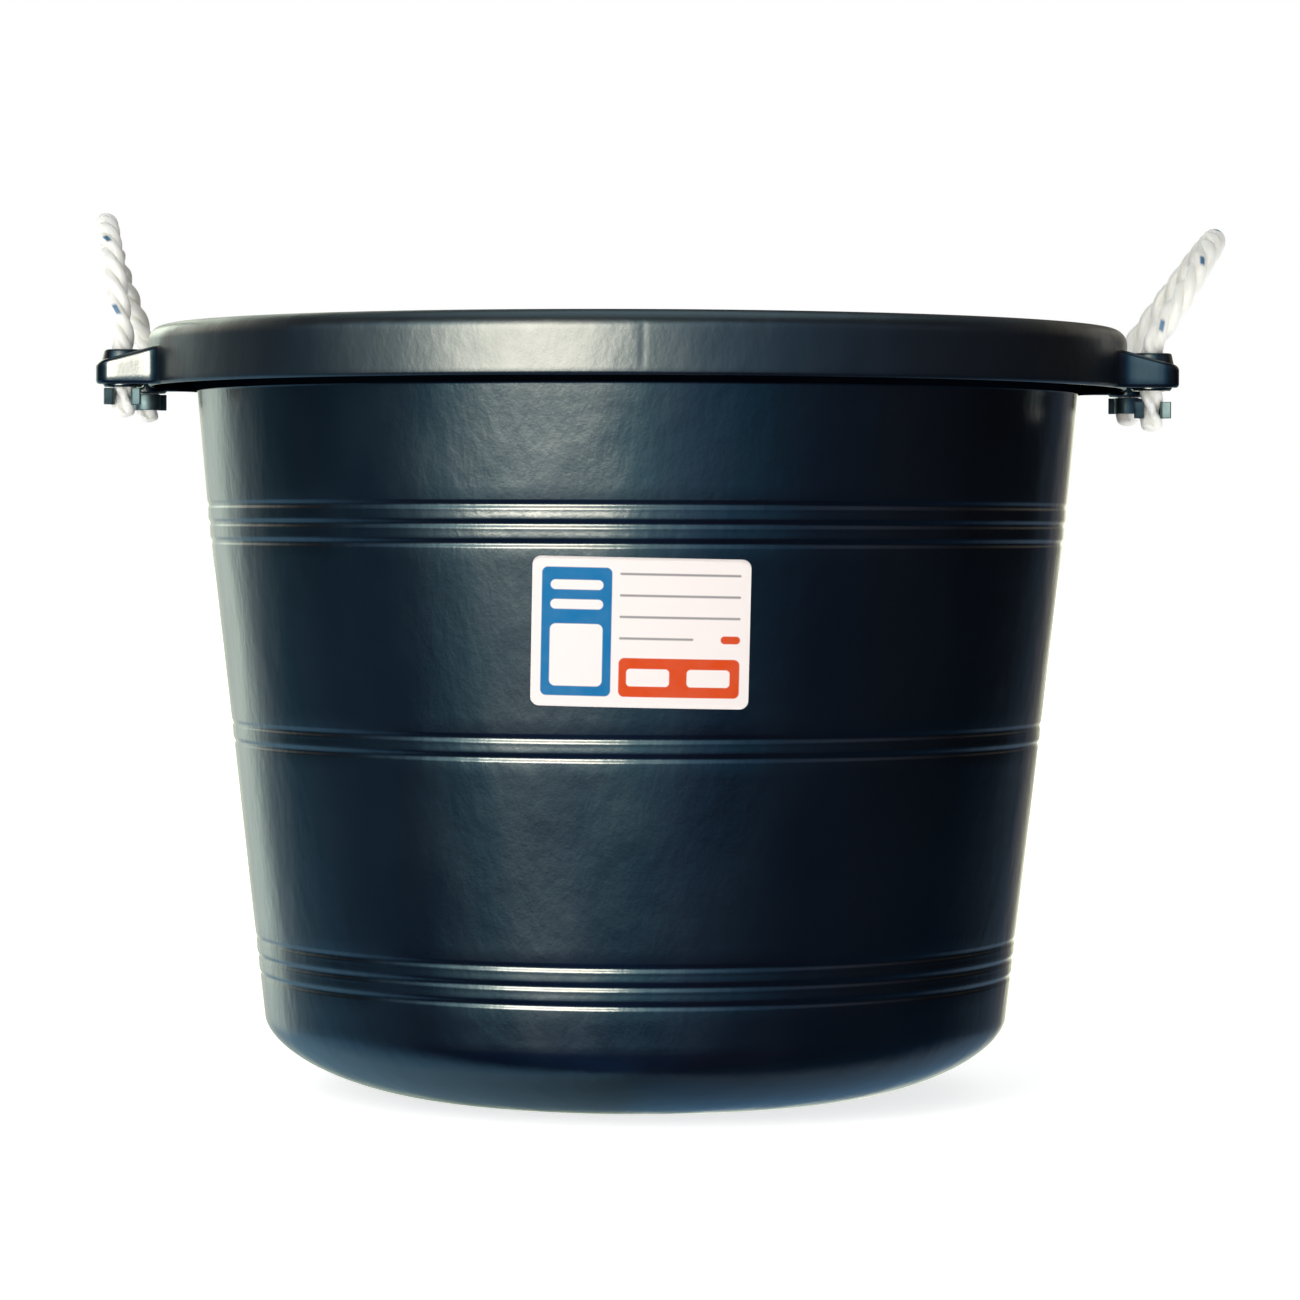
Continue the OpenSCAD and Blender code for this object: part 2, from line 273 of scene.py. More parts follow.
def rope_line(name):
    """Points of a rope's middle line with a fixed step along it, from the front tail's cut end to the
    rear one's, and the direction across the loop at each: straight up, half a circle, straight down."""
    side = SIDES[name]
    arch_z = COLLAR_Z + LEG_TOPS[name]
    up_run = arch_z - TAIL_Z[name, "front"]
    down_run = arch_z - TAIL_Z[name, "rear"]
    length = up_run + math.pi * HOLE_Y + down_run
    s = np.linspace(0, length, round(length / LINE_STEP) + 1)
    turn = np.clip((s - up_run) / HOLE_Y, 0, math.pi)
    y = -HOLE_Y * np.cos(turn)
    under_arch = np.clip(up_run - s, 0, None) + np.clip(s - length + down_run, 0, None)
    above = arch_z + HOLE_Y * np.sin(turn) - under_arch - COLLAR_Z
    below = np.linspace(0, 1, LEAN_SAMPLES) * np.clip(above, 0, None)[:, None]
    full_lean = (LEANS[name] + TWISTS[name] * y / HOLE_Y)[:, None]
    lean_below = full_lean * smoothstep(below / BEND_RUN)
    x = side * (HOLE_X + above * np.sin(lean_below).mean(axis=1))
    z = COLLAR_Z + above * np.cos(lean_below).mean(axis=1)
    tilt = lean_below[:, -1]
    across = np.stack([side * np.cos(tilt), np.zeros_like(s), -np.sin(tilt)], axis=-1)
    return s, np.stack([x, y, z], axis=-1), across


rope_lines = {name: rope_line(name) for name in SIDES}
for name, (s, line, across) in rope_lines.items():
    print(f"{name} rope: {s[-1] * 1000:.0f} mm long, top at {line[:, 2].max() * 1000:.0f} mm")

# %% [markdown]
# ## The ropes' strands
# The rope is three strands laid round each other. Three separate tubes would lie in each other, so
# the rope is made as one skin: seen end on, its outline is the edge of three overlapping circles,
# and that outline turns once in each lay. The columns of the grid turn with it, so a column always
# runs along a strand, and the valleys between the strands stay sharp. Yarns show as fine ridges on
# each strand. They twist the other way, which makes them lie almost along the rope. One yarn is
# dyed blue and shows as a short fleck once in each turn. Both cut ends were melted, so they are
# round and have lost their strands, and the clamps draw the rope in at two waists.

# %% Rope surface
STRANDS = 3
LAY = 44 * MM
STRAND_R = 3.3 * MM
STRAND_OFF = ROPE_R - STRAND_R
YARNS = 11
YARN_DEPTH = 0.16 * MM
YARN_LAY = 44 * MM
COLUMNS = 108
MELT = 3.2 * MM
MELT_R = 0.93 * ROPE_R
SLACK_WAVES = ((0.012, 9 * MM, 0), (0.01, 23 * MM, 1))
WAIST_SHARE = 0.74
WAIST_SOFT = 4 * MM
FLECK_START = 14 * MM
FLECK_HALF = math.radians(30)
FLECK_WIDTH = math.radians(36)
LAY_PHASES = {"left": math.radians(10), "right": math.radians(195)}


def strand_outline(turn):
    """Radius of the edge of three overlapping circles at an angle from a strand's middle, and the
    angle round that strand's own middle."""
    third = 2 * math.pi / STRANDS
    from_strand = (turn + third / 2) % third - third / 2
    radius = STRAND_OFF * np.cos(from_strand)
    radius = radius + np.sqrt(STRAND_R**2 - (STRAND_OFF * np.sin(from_strand)) ** 2)
    round_strand = np.arctan2(radius * np.sin(from_strand), radius * np.cos(from_strand) - STRAND_OFF)
    return radius, round_strand


def melt_share(s):
    """Share of the rope's radius left near a cut end: a quarter of an ellipse."""
    from_end = np.minimum(s, s[-1] - s)
    return np.sqrt(np.clip(1 - (1 - np.clip(from_end / MELT, 0.02, 1)) ** 2, 0, 1))


def waist_share(name, line):
    """Share of the rope's radius at each point of its line: 1, but less inside a clamp's band."""
    band_z = np.where(line[:, 1] < 0, CLAMP_Z[name, "front"], CLAMP_Z[name, "rear"])
    from_edge = CLAMP_H / 2 - np.abs(line[:, 2] - band_z)
    return 1 - (1 - WAIST_SHARE) * smoothstep(from_edge / WAIST_SOFT)


def rope_surface(name):
    """Points of a rope's skin on a grid, rows along its line and columns round it, and how blue each
    point is: the line, plus the outline's radius along a direction that turns with the lay."""
    s, line, across = rope_lines[name]
    along = np.gradient(line, axis=0)
    along /= np.linalg.norm(along, axis=1, keepdims=True)
    side = np.cross(along, across)
    side /= np.linalg.norm(side, axis=1, keepdims=True)
    across = np.cross(side, along)
    column = np.linspace(0, 2 * math.pi, COLUMNS, endpoint=False)
    radius, round_strand = strand_outline(column)
    strand = np.floor((column + math.pi / STRANDS) / (2 * math.pi / STRANDS)) % STRANDS
    yarn_turn = 2 * math.pi * (s - FLECK_START) / YARN_LAY
    wave = np.cos(YARNS * (round_strand[None, :] + yarn_turn[:, None]))
    ridges = YARN_DEPTH * (np.sqrt(np.abs(wave)) - 1)
    unlaid = smoothstep(np.minimum(s, s[-1] - s) / (2 * MELT))[:, None]
    slack = 1 + sum(share * np.sin(s / pitch + phase) for share, pitch, phase in SLACK_WAVES)
    skin = unlaid * (radius[None, :] + ridges) + (1 - unlaid) * MELT_R
    shares = melt_share(s) * waist_share(name, line) * slack
    skin = skin * shares[:, None]
    angle = column[None, :] + 2 * math.pi * (s[:, None] - FLECK_START) / LAY + LAY_PHASES[name]
    points = line[:, None, :] + skin[..., None] * (
        np.cos(angle)[..., None] * side[:, None, :] + np.sin(angle)[..., None] * across[:, None, :]
    )
    yarn_now = (-yarn_turn + math.pi) % (2 * math.pi) - math.pi
    off_yarn = np.abs(round_strand[None, :] - yarn_now[:, None])
    in_view = smoothstep(2 - 2 * np.abs(yarn_now) / FLECK_HALF) * (line[:, 2] > COLLAR_Z)
    fleck = smoothstep(1.6 - 1.6 * off_yarn / FLECK_WIDTH) * in_view[:, None]
    return points, fleck * (strand == 0)[None, :]


def rope_piece(name):
    """One rope, closed at both ends, with its blue yarn as a point attribute."""
    points, fleck = rope_surface(name)
    rows, columns = fleck.shape
    line = rope_lines[name][1]
    both = np.concatenate([points.reshape(-1, 3), line[[0, -1]]])
    first_ring = np.arange(columns)
    last_ring = first_ring + (rows - 1) * columns
    faces = [
        grid_quads(rows, columns, wrap=True),
        fan(first_ring[::-1], rows * columns),
        fan(last_ring, rows * columns + 1),
    ]
    piece = new_piece(f"{name}_rope", both, faces)
    dye = piece.data.attributes.new("dye", "FLOAT", "POINT")
    dye.data.foreach_set("value", np.append(fleck.ravel(), [0, 0]).astype(np.float32))
    return piece


# %% [markdown]
# ## The rope's finish
# Polypropylene rope is off-white and a little silky. Fine noise that is stretched along nothing in
# particular would look like dust, so the colour varies slowly, with a finer fibre noise in the
# bump. The blue comes from the attribute that was worked out with the surface, so it follows its
# yarn exactly.

# %% Rope material
FIBRE_DEPTH = 0.4 * MM
LIGHT_REACH = 4 * MM


def rope_material():
    """Off-white with slow changes of tone, blue where the attribute says so, and fibres as a bump."""
    material, tree, shader = new_material("polypropylene_rope", {
        "Roughness": 0.55, "Subsurface Weight": 0.5, "Subsurface Radius": (1, 0.95, 0.85),
        "Subsurface Scale": LIGHT_REACH,
    })
    place = add(tree, "ShaderNodeTexCoord").outputs["Object"]
    tone = remap(tree, noise(tree, place, 160.0), 0.3, 0.7, 0.0, 1.0)
    white = mix_colours(tree, tone, (0.94, 0.905, 0.825, 1), (0.99, 0.965, 0.905, 1))
    dye = add(tree, "ShaderNodeAttribute", attribute_name="dye").outputs["Fac"]
    colour = mix_colours(tree, dye, white, (0.03, 0.13, 0.25, 1))
    tree.links.new(colour, shader.inputs["Base Color"])
    fibres = noise(tree, place, 2400.0, detail=2.0)
    bump = add(tree, "ShaderNodeBump", {"Height": fibres, "Strength": 0.35, "Distance": FIBRE_DEPTH})
    tree.links.new(bump.outputs["Normal"], shader.inputs["Normal"])
    return material


rope_finish = rope_material()
for name, side in SIDES.items():
    rope = rope_piece(name)
    rope.data.materials.append(rope_finish)
    s, line, across = rope_lines[name]
    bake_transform(rope)
    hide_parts(f"{name}_rope_loop", f"{name}_front_tail", f"{name}_rear_tail")
    print(f"{rope.name}: {len(rope.data.polygons)} faces")

# %% [markdown]
# ## The tub's outline
# The tub is moulded in one piece, and almost all of it is round, so it starts as one outline that
# is carried round the axis. Going from the middle of the base outwards: a flat floor, a soft
# corner that follows a superellipse, a wall of two tapers with three bands of grooves, the rolled
# rim, and the inside. A groove is one wave of a cosine, and the land between two grooves swells
# towards its lower edge. So each groove shows as a dark line where it faces the floor, a thin
# bright one where it faces the light, and a broad soft one on the land. From just below the rim,
# up into its channel, the wall flares a little, and the finish turns its shine off there as painted
# shade; together they leave a dark strip. Points lie close together only where the outline bends.

# %% Tub outline
RIM_H = 33.5 * MM
RIM_T = 4 * MM
RIM_ROUND = 9 * MM
LIP_ROUND = 6 * MM
WALL_T = 4 * MM
BASE_T = 5 * MM
FOOT_R = 202 * MM
WALL_BULGE = 1.4 * MM
CORNER_W = 88 * MM
CORNER_H = 42 * MM
CORNER_POWER = 1.76
ROOT_DROP = 3 * MM
ROOT_FLARE = 1.6 * MM
FLARE_RISE = 4 * MM
FLARE_END = 12 * MM
RIM_REACH = 27 * MM
GROOVE_PITCH = 10 * MM
GROOVE_H = 5.4 * MM
GROOVE_DEPTH = 0.6 * MM
LAND_SWELL = 0.22 * MM
BAND_MARGIN = 0.6 * GROOVE_PITCH
BASE_EYE = 20 * MM
WALL_STEP = 5 * MM
CORNER_GAP = 4 * MM
INNER_GAP = 6 * MM
LIP_END = 20 * MM
FLARE_POINTS = np.array([-0.6, -0.2, 0.2, 0.6, 3.4, 4, 6]) * MM

RIM_Z = HEIGHT - RIM_H
ROOT_Z = RIM_Z - ROOT_DROP
NECK_R = RIM_R - RIM_REACH
UPPER_BAND_Z = HEIGHT - 108.5 * MM
MIDDLE_BAND_Z = UPPER_BAND_Z - 115.5 * MM
LOWER_BAND_Z = 76.5 * MM
BEND_R = FOOT_R + (NECK_R - FOOT_R) * UPPER_BAND_Z / RIM_Z + WALL_BULGE
BANDS = ((LOWER_BAND_Z, 3), (MIDDLE_BAND_Z, 2), (UPPER_BAND_Z, 3))
GROOVES = np.concatenate([z + GROOVE_PITCH * (np.arange(n) - (n - 1) / 2) for z, n in BANDS])
LANDS = np.concatenate([z + GROOVE_PITCH * (np.arange(n - 1) - (n - 1) / 2) for z, n in BANDS])


def wall_r(z):
    """Outer radius of the plain wall at height z: two straight tapers that meet at the upper band."""
    upper = BEND_R + (NECK_R - BEND_R) * (z - UPPER_BAND_Z) / (RIM_Z - UPPER_BAND_Z)
    lower = FOOT_R + (BEND_R - FOOT_R) * z / UPPER_BAND_Z
    return np.where(z < UPPER_BAND_Z, lower, upper)


def groove_depth(z):
    """Depth of the grooves at height z: half of one plus the cosine, over one wave for each groove."""
    across = np.clip((z[:, None] - GROOVES[None, :]) / GROOVE_H, -0.5, 0.5)
    return GROOVE_DEPTH * np.sum(1 + np.cos(2 * math.pi * across), axis=1) / 2


def land_swell(z):
    """Swell of each land between two grooves: none at its upper edge, most at its lower edge, and none
    again in the groove below, by half a cosine wave each way."""
    up = z[:, None] - LANDS[None, :]
    rest = GROOVE_PITCH - GROOVE_H / 2 - up
    share = np.minimum(2 * up / GROOVE_H, rest / (GROOVE_PITCH - GROOVE_H))
    return LAND_SWELL * np.sum(1 - np.cos(math.pi * np.clip(share, 0, 1)), axis=1) / 2


def corner_line(width, height, z, inset, steps):
    """Points of the round between base and wall, from the base up: a superellipse."""
    turn = np.linspace(0, math.pi / 2, steps)
    out = np.sin(turn) ** (2 / CORNER_POWER)
    at = z + height * (1 - np.cos(turn) ** (2 / CORNER_POWER))
    return np.stack([wall_r(at) - inset - width * (1 - out), at], axis=-1)


def arc(middle, radius, start, end, steps):
    """Points on a circle from one angle to another, in degrees."""
    turn = np.radians(np.linspace(start, end, steps))
    return np.asarray(middle) + radius * np.stack([np.cos(turn), np.sin(turn)], axis=-1)


def straight(start, end, steps):
    """Points on a straight line, both ends included."""
    return np.linspace(start, end, steps)


def wall_line():
    """Points up the outside of the wall, close together in the bands and at the flare: the plain wall,
    less the grooves, plus the swell of the lands and a flare that rises and fades in straight lines."""
    top = HEIGHT - RIM_T - LIP_ROUND / 2
    plain = np.arange(CORNER_H + CORNER_GAP, top, WALL_STEP)
    fine = GROOVES[:, None] + np.linspace(-0.5, 0.5, 13)[None, :] * GROOVE_H
    land = LANDS[:, None] + np.linspace(GROOVE_H / 2, GROOVE_PITCH - GROOVE_H / 2, 9)[None, :]
    near = np.min(np.abs(plain[:, None] - GROOVES[None, :]), axis=1) < BAND_MARGIN
    root = ROOT_Z + FLARE_POINTS
    z = np.unique(np.round(np.concatenate([plain[~near], fine.ravel(), land.ravel(), root, [top]]), 7))
    flare = np.interp(z, [ROOT_Z, ROOT_Z + FLARE_RISE, ROOT_Z + FLARE_END], [0, ROOT_FLARE, 0])
    return np.stack([wall_r(z) - groove_depth(z) + land_swell(z) + flare, z], axis=-1)


inner_rim = [RIM_R - RIM_ROUND, HEIGHT - RIM_ROUND]
lip = [float(wall_r(HEIGHT)) - WALL_T + LIP_ROUND, HEIGHT - LIP_ROUND]
edge = [RIM_R - RIM_T / 2, RIM_Z + RIM_T / 2]
under_rim = HEIGHT - RIM_T
fillet = LIP_ROUND / 2
root = [float(wall_r(under_rim)) + fillet, under_rim - fillet]
flat_r = FOOT_R - CORNER_W - CORNER_GAP
inner_top, inner_foot = HEIGHT - LIP_END, CORNER_H + INNER_GAP
inner_bend = [BEND_R - WALL_T, UPPER_BAND_Z]
outline = np.concatenate([
    straight([BASE_EYE, 0], [flat_r, 0], 5),
    corner_line(CORNER_W, CORNER_H, 0, 0, 26),
    wall_line(),
    arc(root, fillet, 180, 90, 5)[1:],
    arc(inner_rim, RIM_ROUND - RIM_T, 90, 0, 7),
    straight([RIM_R - RIM_T, HEIGHT - RIM_ROUND - RIM_T], [RIM_R - RIM_T, edge[1] + RIM_T / 2], 3),
    arc(edge, RIM_T / 2, 180, 360, 11),
    straight([RIM_R, edge[1] + RIM_T / 2], [RIM_R, HEIGHT - RIM_ROUND - RIM_T / 2], 6),
    arc(inner_rim, RIM_ROUND, 0, 90, 12),
    arc(lip, LIP_ROUND, 90, 180, 8),
    straight([float(wall_r(inner_top)) - WALL_T, inner_top], inner_bend, 6),
    straight(inner_bend, [float(wall_r(inner_foot)) - WALL_T, inner_foot], 12)[1:],
    corner_line(CORNER_W - WALL_T, CORNER_H - BASE_T, BASE_T, WALL_T, 22)[::-1],
    straight([flat_r, BASE_T], [BASE_EYE, BASE_T], 5),
])
print(f"outline of {len(outline)} points")

# %% [markdown]
# ## Round the axis
# A moulding is never perfectly round. The wall gets waves of about a tenth of a millimetre, far
# too little to see as a shape, but enough to break up a reflection into soft patches. On the front
# of the rim there is a fine upright line where two streams of molten plastic met in the mould, and
# the columns of the grid lie closer together there so that it can be a real dent.

# %% Tub body
TURNS = 256
MELD_X = 2.7 * MM
MELD_WIDTH = 1.6 * MM
MELD_DEPTH = 0.12 * MM
MELD_SWELL_X = 14 * MM
MELD_SWELL_WIDTH = 9 * MM
WALL_WAVE = 0.09 * MM
WAVES_FADE_IN = 30 * MM
WAVES_FADE_OUT = 20 * MM
WAVES_TOP = UPPER_BAND_Z + 70 * MM
NEAR_WALL = 2.5 * MM
NEAR_RIM = 0.3 * MM


def wall_waves(turn, z):
    """Small swell of the wall: a sum of sine waves that run round and up at different pitches."""
    return WALL_WAVE * (
        np.sin(5 * turn + 0.6)
        + 0.8 * np.sin(9 * turn - z / (38 * MM))
        + 0.6 * np.sin(16 * turn + z / (24 * MM) + 2.1)
        + 0.5 * np.sin(z / (31 * MM) - 3 * turn)
    )


def meld_line(turn):
    """Dent on the front of the rim: a narrow bell curve, with a wide low swell on its right."""
    off = (turn + math.pi / 2) * RIM_R - MELD_X
    dent = np.exp(-((off / MELD_WIDTH) ** 2))
    swell = np.exp(-(((off - MELD_SWELL_X) / MELD_SWELL_WIDTH) ** 2))
    return MELD_DEPTH * (swell / 2 - dent)


front = -math.pi / 2 + MELD_X / RIM_R
extra = front + np.linspace(-4, 4, 13) * MELD_WIDTH / RIM_R
turns = np.unique(np.concatenate([np.arange(TURNS) * 2 * math.pi / TURNS - math.pi, extra]))
radius, height = outline[:, 0][:, None], outline[:, 1][:, None]
above_corner = smoothstep((height - CORNER_H) / WAVES_FADE_IN)
is_wall = above_corner * smoothstep((WAVES_TOP - height) / WAVES_FADE_OUT)
is_outside = np.abs(radius - wall_r(height)) < NEAR_WALL
is_rim_face = (radius > RIM_R - NEAR_RIM) & (height > RIM_Z + RIM_T / 2)
swollen = radius + is_wall * is_outside * wall_waves(turns, height) + is_rim_face * meld_line(turns)
skin = np.stack([swollen * np.cos(turns), swollen * np.sin(turns), height + 0 * turns], axis=-1)
rows, columns = swollen.shape
poles = np.array([[0, 0, 0], [0, 0, BASE_T]])
ring = np.arange(columns)
tub = new_piece("tub_shell", np.concatenate([skin.reshape(-1, 3), poles]), [
    grid_quads(rows, columns, wrap=True),
    fan(ring[::-1], rows * columns),
    fan(ring + (rows - 1) * columns, rows * columns + 1),
])
print(f"tub body: {len(tub.data.polygons)} faces")

# %% [markdown]
# ## The ears
# An ear is a shallow box, open below, that the same mould makes on each side of the rim. Its wall
# follows a path in plan: off the rim in a small hollow round, straight out, round a corner, across
# the end, and back. A section is carried along this path: up the outside, over a rounded edge, in
# along the sloping top to the rim, and back along the underside. The inner ends are then trimmed
# inside the thickness of the rim, and the ears are joined to the tub by a Boolean, which is
# quicker to write than a mesh that meets the rim point by point.

# %% Ear surface
EAR_HALF = HOLE_Y + 15 * MM
EAR_ROUND = 10 * MM
EAR_FILLET = 11 * MM
EAR_T = 4 * MM
EAR_EDGE = 2.5 * MM
EAR_Z = HEIGHT - 15.5 * MM
EAR_SLOPE = 6 / 22.5
SUNK = 0.3 * MM
EAR_INNER_R = RIM_R - 12 * MM
ON_RIM_DEGREES = 4
TRIM_PAST = 20 * MM


def ear_path():
    """Plan of the right ear's outer face from front to rear, and its inward directions: an arc on the
    rim, a hollow arc, a straight side, a corner arc and half of the end, then the same mirrored."""
    rim = RIM_R - SUNK
    hollow_y = EAR_HALF + EAR_FILLET
    hollow = np.array([math.sqrt((rim + EAR_FILLET) ** 2 - hollow_y**2), -hollow_y])
    touch = math.degrees(math.atan2(-hollow_y, hollow[0]))
    corner = np.array([EAR_X - EAR_ROUND, EAR_ROUND - EAR_HALF])
    on_rim = arc((0, 0), rim, touch - ON_RIM_DEGREES, touch, 6)[:-1]
    in_hollow = arc(hollow, EAR_FILLET, 180 + touch, 90, 9)
    side = straight([hollow[0], -EAR_HALF], [corner[0], -EAR_HALF], 6)[1:-1]
    on_corner = arc(corner, EAR_ROUND, -90, 0, 9)
    end = straight([EAR_X, corner[1]], [EAR_X, 0], 14)[1:]
    path = np.concatenate([on_rim, in_hollow, side, on_corner, end])
    inward = np.concatenate([
        -on_rim / rim,
        (in_hollow - hollow) / EAR_FILLET,
        np.tile([0.0, 1.0], (len(side), 1)),
        (corner - on_corner) / EAR_ROUND,
        np.tile([-1.0, 0.0], (len(end), 1)),
    ])
    mirror = np.array([1, -1])
    whole_path = np.concatenate([path, path[-2::-1] * mirror])
    return whole_path, np.concatenate([inward, inward[-2::-1] * mirror])


def ear_top(x):
    """Height of the ear's top: level beside the rim, falling outwards by a fixed slope."""
    return EAR_Z - EAR_SLOPE * (x - RIM_R)


def ear_section(path, inward):
    """Points of the ear's shell, one row for each point of the path: each section goes round the
    lower edge, up the outside, over the rounded edge, in along the top, and back underneath."""
    length = np.cumsum(np.append(0, np.linalg.norm(np.diff(path, axis=0), axis=1)))
    swing = np.arctan2(-path[0, 1], path[0, 0]) * (2 * length / length[-1] - 1)
    inner = EAR_INNER_R * np.stack([np.cos(swing), np.sin(swing)], axis=-1)
    half = EAR_T / 2
    turn = np.linspace(math.pi, 2 * math.pi, 7)
    lower_in = half - half * np.cos(turn)
    lower_z = np.full((len(path), 1), RIM_Z + half) + half * np.sin(turn)
    climb = np.linspace(0, 1, 5)[1:-1]
    side_top = ear_top(path[:, :1]) - EAR_EDGE
    side_z = RIM_Z + half + climb * (side_top - RIM_Z - half)
    bend = np.linspace(0, math.pi / 2, 7)
    bend_in = EAR_EDGE * (1 - np.cos(bend))
    in_by = np.concatenate([lower_in, 0 * climb, bend_in])
    outside = path[:, None, :] + in_by[None, :, None] * inward[:, None, :]
    bend_z = ear_top(outside[:, -len(bend):, 0]) - EAR_EDGE * (1 - np.sin(bend))
    share = np.linspace(0, 1, 7)[1:, None]
    over = outside[:, -1:, :] + share * (inner - outside[:, -1])[:, None, :]
    inside = path + EAR_T * inward
    under = inner[:, None, :] + np.linspace(0, 1, 7)[:, None] * (inside - inner)[:, None, :]
    inside_z = ear_top(inside[:, :1]) - EAR_T
    down_z = inside_z + climb * (RIM_Z + half - inside_z)
    down = np.repeat(inside[:, None, :], len(climb), axis=1)
    plan = np.concatenate([outside, over, under, down], axis=1)
    over_z, under_z = ear_top(over[..., 0]), ear_top(under[..., 0]) - EAR_T
    z = np.concatenate([lower_z, side_z, bend_z, over_z, under_z, down_z], axis=1)
    return np.concatenate([plan, z[..., None]], axis=2)


def both_sides(points):
    """The same points for the right side and, mirrored, for the left one."""
    return [points, points * np.array([-1, 1, 1])]


def many_solids(name, solids):
    """One object of several closed solids; each is a grid of points whose columns go round."""
    points, faces, first = [], [], 0
    for grid in solids:
        rows, columns = grid.shape[:2]
        flat = grid.reshape(-1, 3)
        ring = first + np.arange(columns)
        groups = [grid_quads(rows, columns, wrap=True, first=first),
                  ring[None, ::-1], (ring + (rows - 1) * columns)[None, :]]
        shifted = [group - first for group in groups]
        if signed_volume(flat, shifted) < 0:
            groups = [group[:, ::-1] for group in groups]
        points.append(flat)
        faces += groups
        first += len(flat)
    return new_piece(name, np.concatenate(points), faces, closed=False)


def turned(outline, middle, steps):
    """An open outline of (radius, height) carried round an upright axis: rows along the outline."""
    turn = np.linspace(0, 2 * math.pi, steps, endpoint=False)
    radius, z = outline[:, :1], outline[:, 1:]
    x, y = middle
    return np.stack([x + radius * np.cos(turn), y + radius * np.sin(turn), z + 0 * turn], axis=-1)


def combine(target, other, operation):
    """Joins a solid to another, or cuts it by another, and deletes the other."""
    modifier = target.modifiers.new("combine", "BOOLEAN")
    modifier.operation = operation
    modifier.solver = "MANIFOLD"
    modifier.object = other
    graph = bpy.context.evaluated_depsgraph_get()
    made = bpy.data.meshes.new_from_object(target.evaluated_get(graph))
    target.modifiers.clear()
    target.data = made
    bpy.data.objects.remove(other)


ears = many_solids("ears", both_sides(ear_section(*ear_path())))
trim_r = RIM_R - RIM_T / 2
trim = turned(np.array([[trim_r, RIM_Z - TRIM_PAST], [trim_r, HEIGHT + TRIM_PAST]]), (0, 0), TURNS)
combine(ears, many_solids("trim", [trim]), "DIFFERENCE")
print(f"ears: {len(ears.data.polygons)} faces")

# %% [markdown]
# ## The bosses and their holes
# Round each rope hole the ear is thickened into a boss. Above the ear it ends in a low collar with
# a slightly sloping side, and below it stands out a little. A boss is an outline carried round the
# hole's axis, and the cutter for the hole is another one, with flared ends, because the edges that
# the rope rubs on are rounded.

# %% Bosses
BOSS_R = 11 * MM
BOSS_Z = RIM_Z - 1.5 * MM
COLLAR_H = 8 * MM
COLLAR_FLARE = 1.5 * MM
COLLAR_EDGE = 1.2 * MM
HOLE_R = ROPE_R + 0.35 * MM
FLARE = 1.0 * MM
BEVEL = 1 * MM
PAST = 1 * MM
BOSS_TURNS = 48
SHARP_ANGLE = math.radians(38)
HOLES = [(x, y) for x in (-HOLE_X, HOLE_X) for y in (-HOLE_Y, HOLE_Y)]

boss_line = np.concatenate([
    [[BOSS_R - BEVEL, BOSS_Z], [BOSS_R, BOSS_Z + BEVEL]],
    [[BOSS_R, COLLAR_Z - COLLAR_H - BEVEL], [BOSS_R + COLLAR_FLARE, COLLAR_Z - COLLAR_H]],
    arc((BOSS_R - COLLAR_EDGE, COLLAR_Z - COLLAR_EDGE), COLLAR_EDGE, 10, 90, 6),
])
hole_line = np.array([
    [HOLE_R + FLARE + PAST, BOSS_Z - PAST],
    [HOLE_R + FLARE, BOSS_Z],
    [HOLE_R + 0.3 * FLARE, BOSS_Z + 0.5 * FLARE],
    [HOLE_R, BOSS_Z + 2 * FLARE],
    [HOLE_R, COLLAR_Z - 2 * FLARE],
    [HOLE_R + 0.3 * FLARE, COLLAR_Z - 0.5 * FLARE],
    [HOLE_R + FLARE, COLLAR_Z],
    [HOLE_R + FLARE + PAST, COLLAR_Z + PAST],
])
combine(tub, ears, "UNION")
combine(tub, many_solids("bosses", [turned(boss_line, hole, BOSS_TURNS) for hole in HOLES]), "UNION")
combine(tub, many_solids("holes", [turned(hole_line, hole, BOSS_TURNS) for hole in HOLES]), "DIFFERENCE")
tub.data.polygons.foreach_set("use_smooth", np.ones(len(tub.data.polygons), bool))
tub.data.set_sharp_from_angle(angle=SHARP_ANGLE)
print(f"tub with ears and bosses: {len(tub.data.polygons)} faces")

# %% [markdown]
# ## The tub's finish
# Polyethylene comes out of the mould with a satin skin: it is almost black with a blue cast, and
# everything that shows on it is reflection. So the colour hardly matters and the roughness does.
# Two noises bend the surface, a slow one that breaks the sheen into patches, and a fine one like
# the peel of an orange. A third one makes some patches a little duller than others. The rim gets
# knocked and is rougher than the wall, and the ears are smoother. In the channel under the rim, and
# on the strip of wall just below it, the shine is turned off: that is painted shade, standing in for
# the rim's shadow. Height and distance from the axis tell these apart.

# %% Tub material
WALL_ROUGHNESS = 0.22
RIM_ROUGHNESS = 0.35
WALL_SHINE = 0.5
# Shine in the channel under the rim and on the wall just below it: none, a painted shade.
PAINTED_SHADE_SHINE = 0.0
PATCH_BUMP = 0.5
EAR_BUMP = 0.08
PATCH_DEPTH = 1.2 * MM
PEEL_BUMP = 0.25
PEEL_DEPTH = 0.12 * MM
DULLER = 0.03
EDGE = 0.6 * MM


def both(tree, *limits):
    """1 where every limit holds: each one is a field, with the values where it is 0 and where it is 1."""
    share = 1.0
    for field, none, all_of_it in limits:
        share = scalar_math(tree, "MULTIPLY", remap(tree, field, none, all_of_it, 0.0, 1.0), share)
    return share


